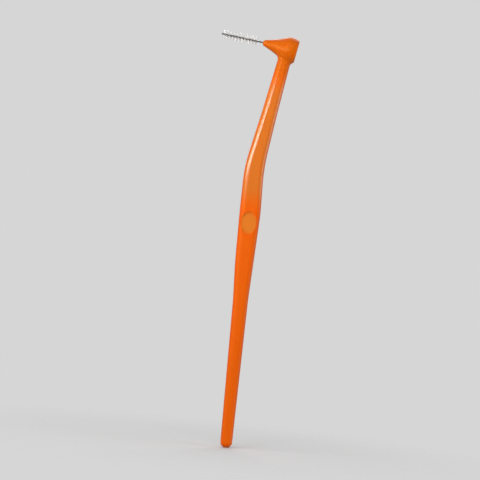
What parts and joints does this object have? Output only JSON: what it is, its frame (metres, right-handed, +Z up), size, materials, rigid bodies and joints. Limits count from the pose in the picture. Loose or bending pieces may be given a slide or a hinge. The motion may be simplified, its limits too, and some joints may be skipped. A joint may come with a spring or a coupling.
{
  "type": "interdental brush",
  "caption": "Angled interdental brush: a slim moulded handle with a bent neck and a cone head, and a twisted coated wire with nylon filaments that leaves the head sideways.",
  "frame": {"origin": "centre of the grip, midway between the two finger rests", "axes": "+Z up along the straight lower handle towards the head, +X to the side that the neck leans to, so the wire points towards -X, and the wide faces look along -Y and +Y"},
  "size_m": [0.0184, 0.006, 0.0974],
  "materials": {
    "handle_plastic": "glossy moulded orange polypropylene",
    "wire_steel": "drawn stainless steel wire",
    "coating_plastic": "thin dark grey plastic coat",
    "filament_nylon": "pale translucent nylon"
  },
  "bodies": {
    "root": {"handle": "handle_plastic", "core_wire": "wire_steel", "wire_coating": "coating_plastic", "filaments": "filament_nylon"}
  },
  "joints": []
}
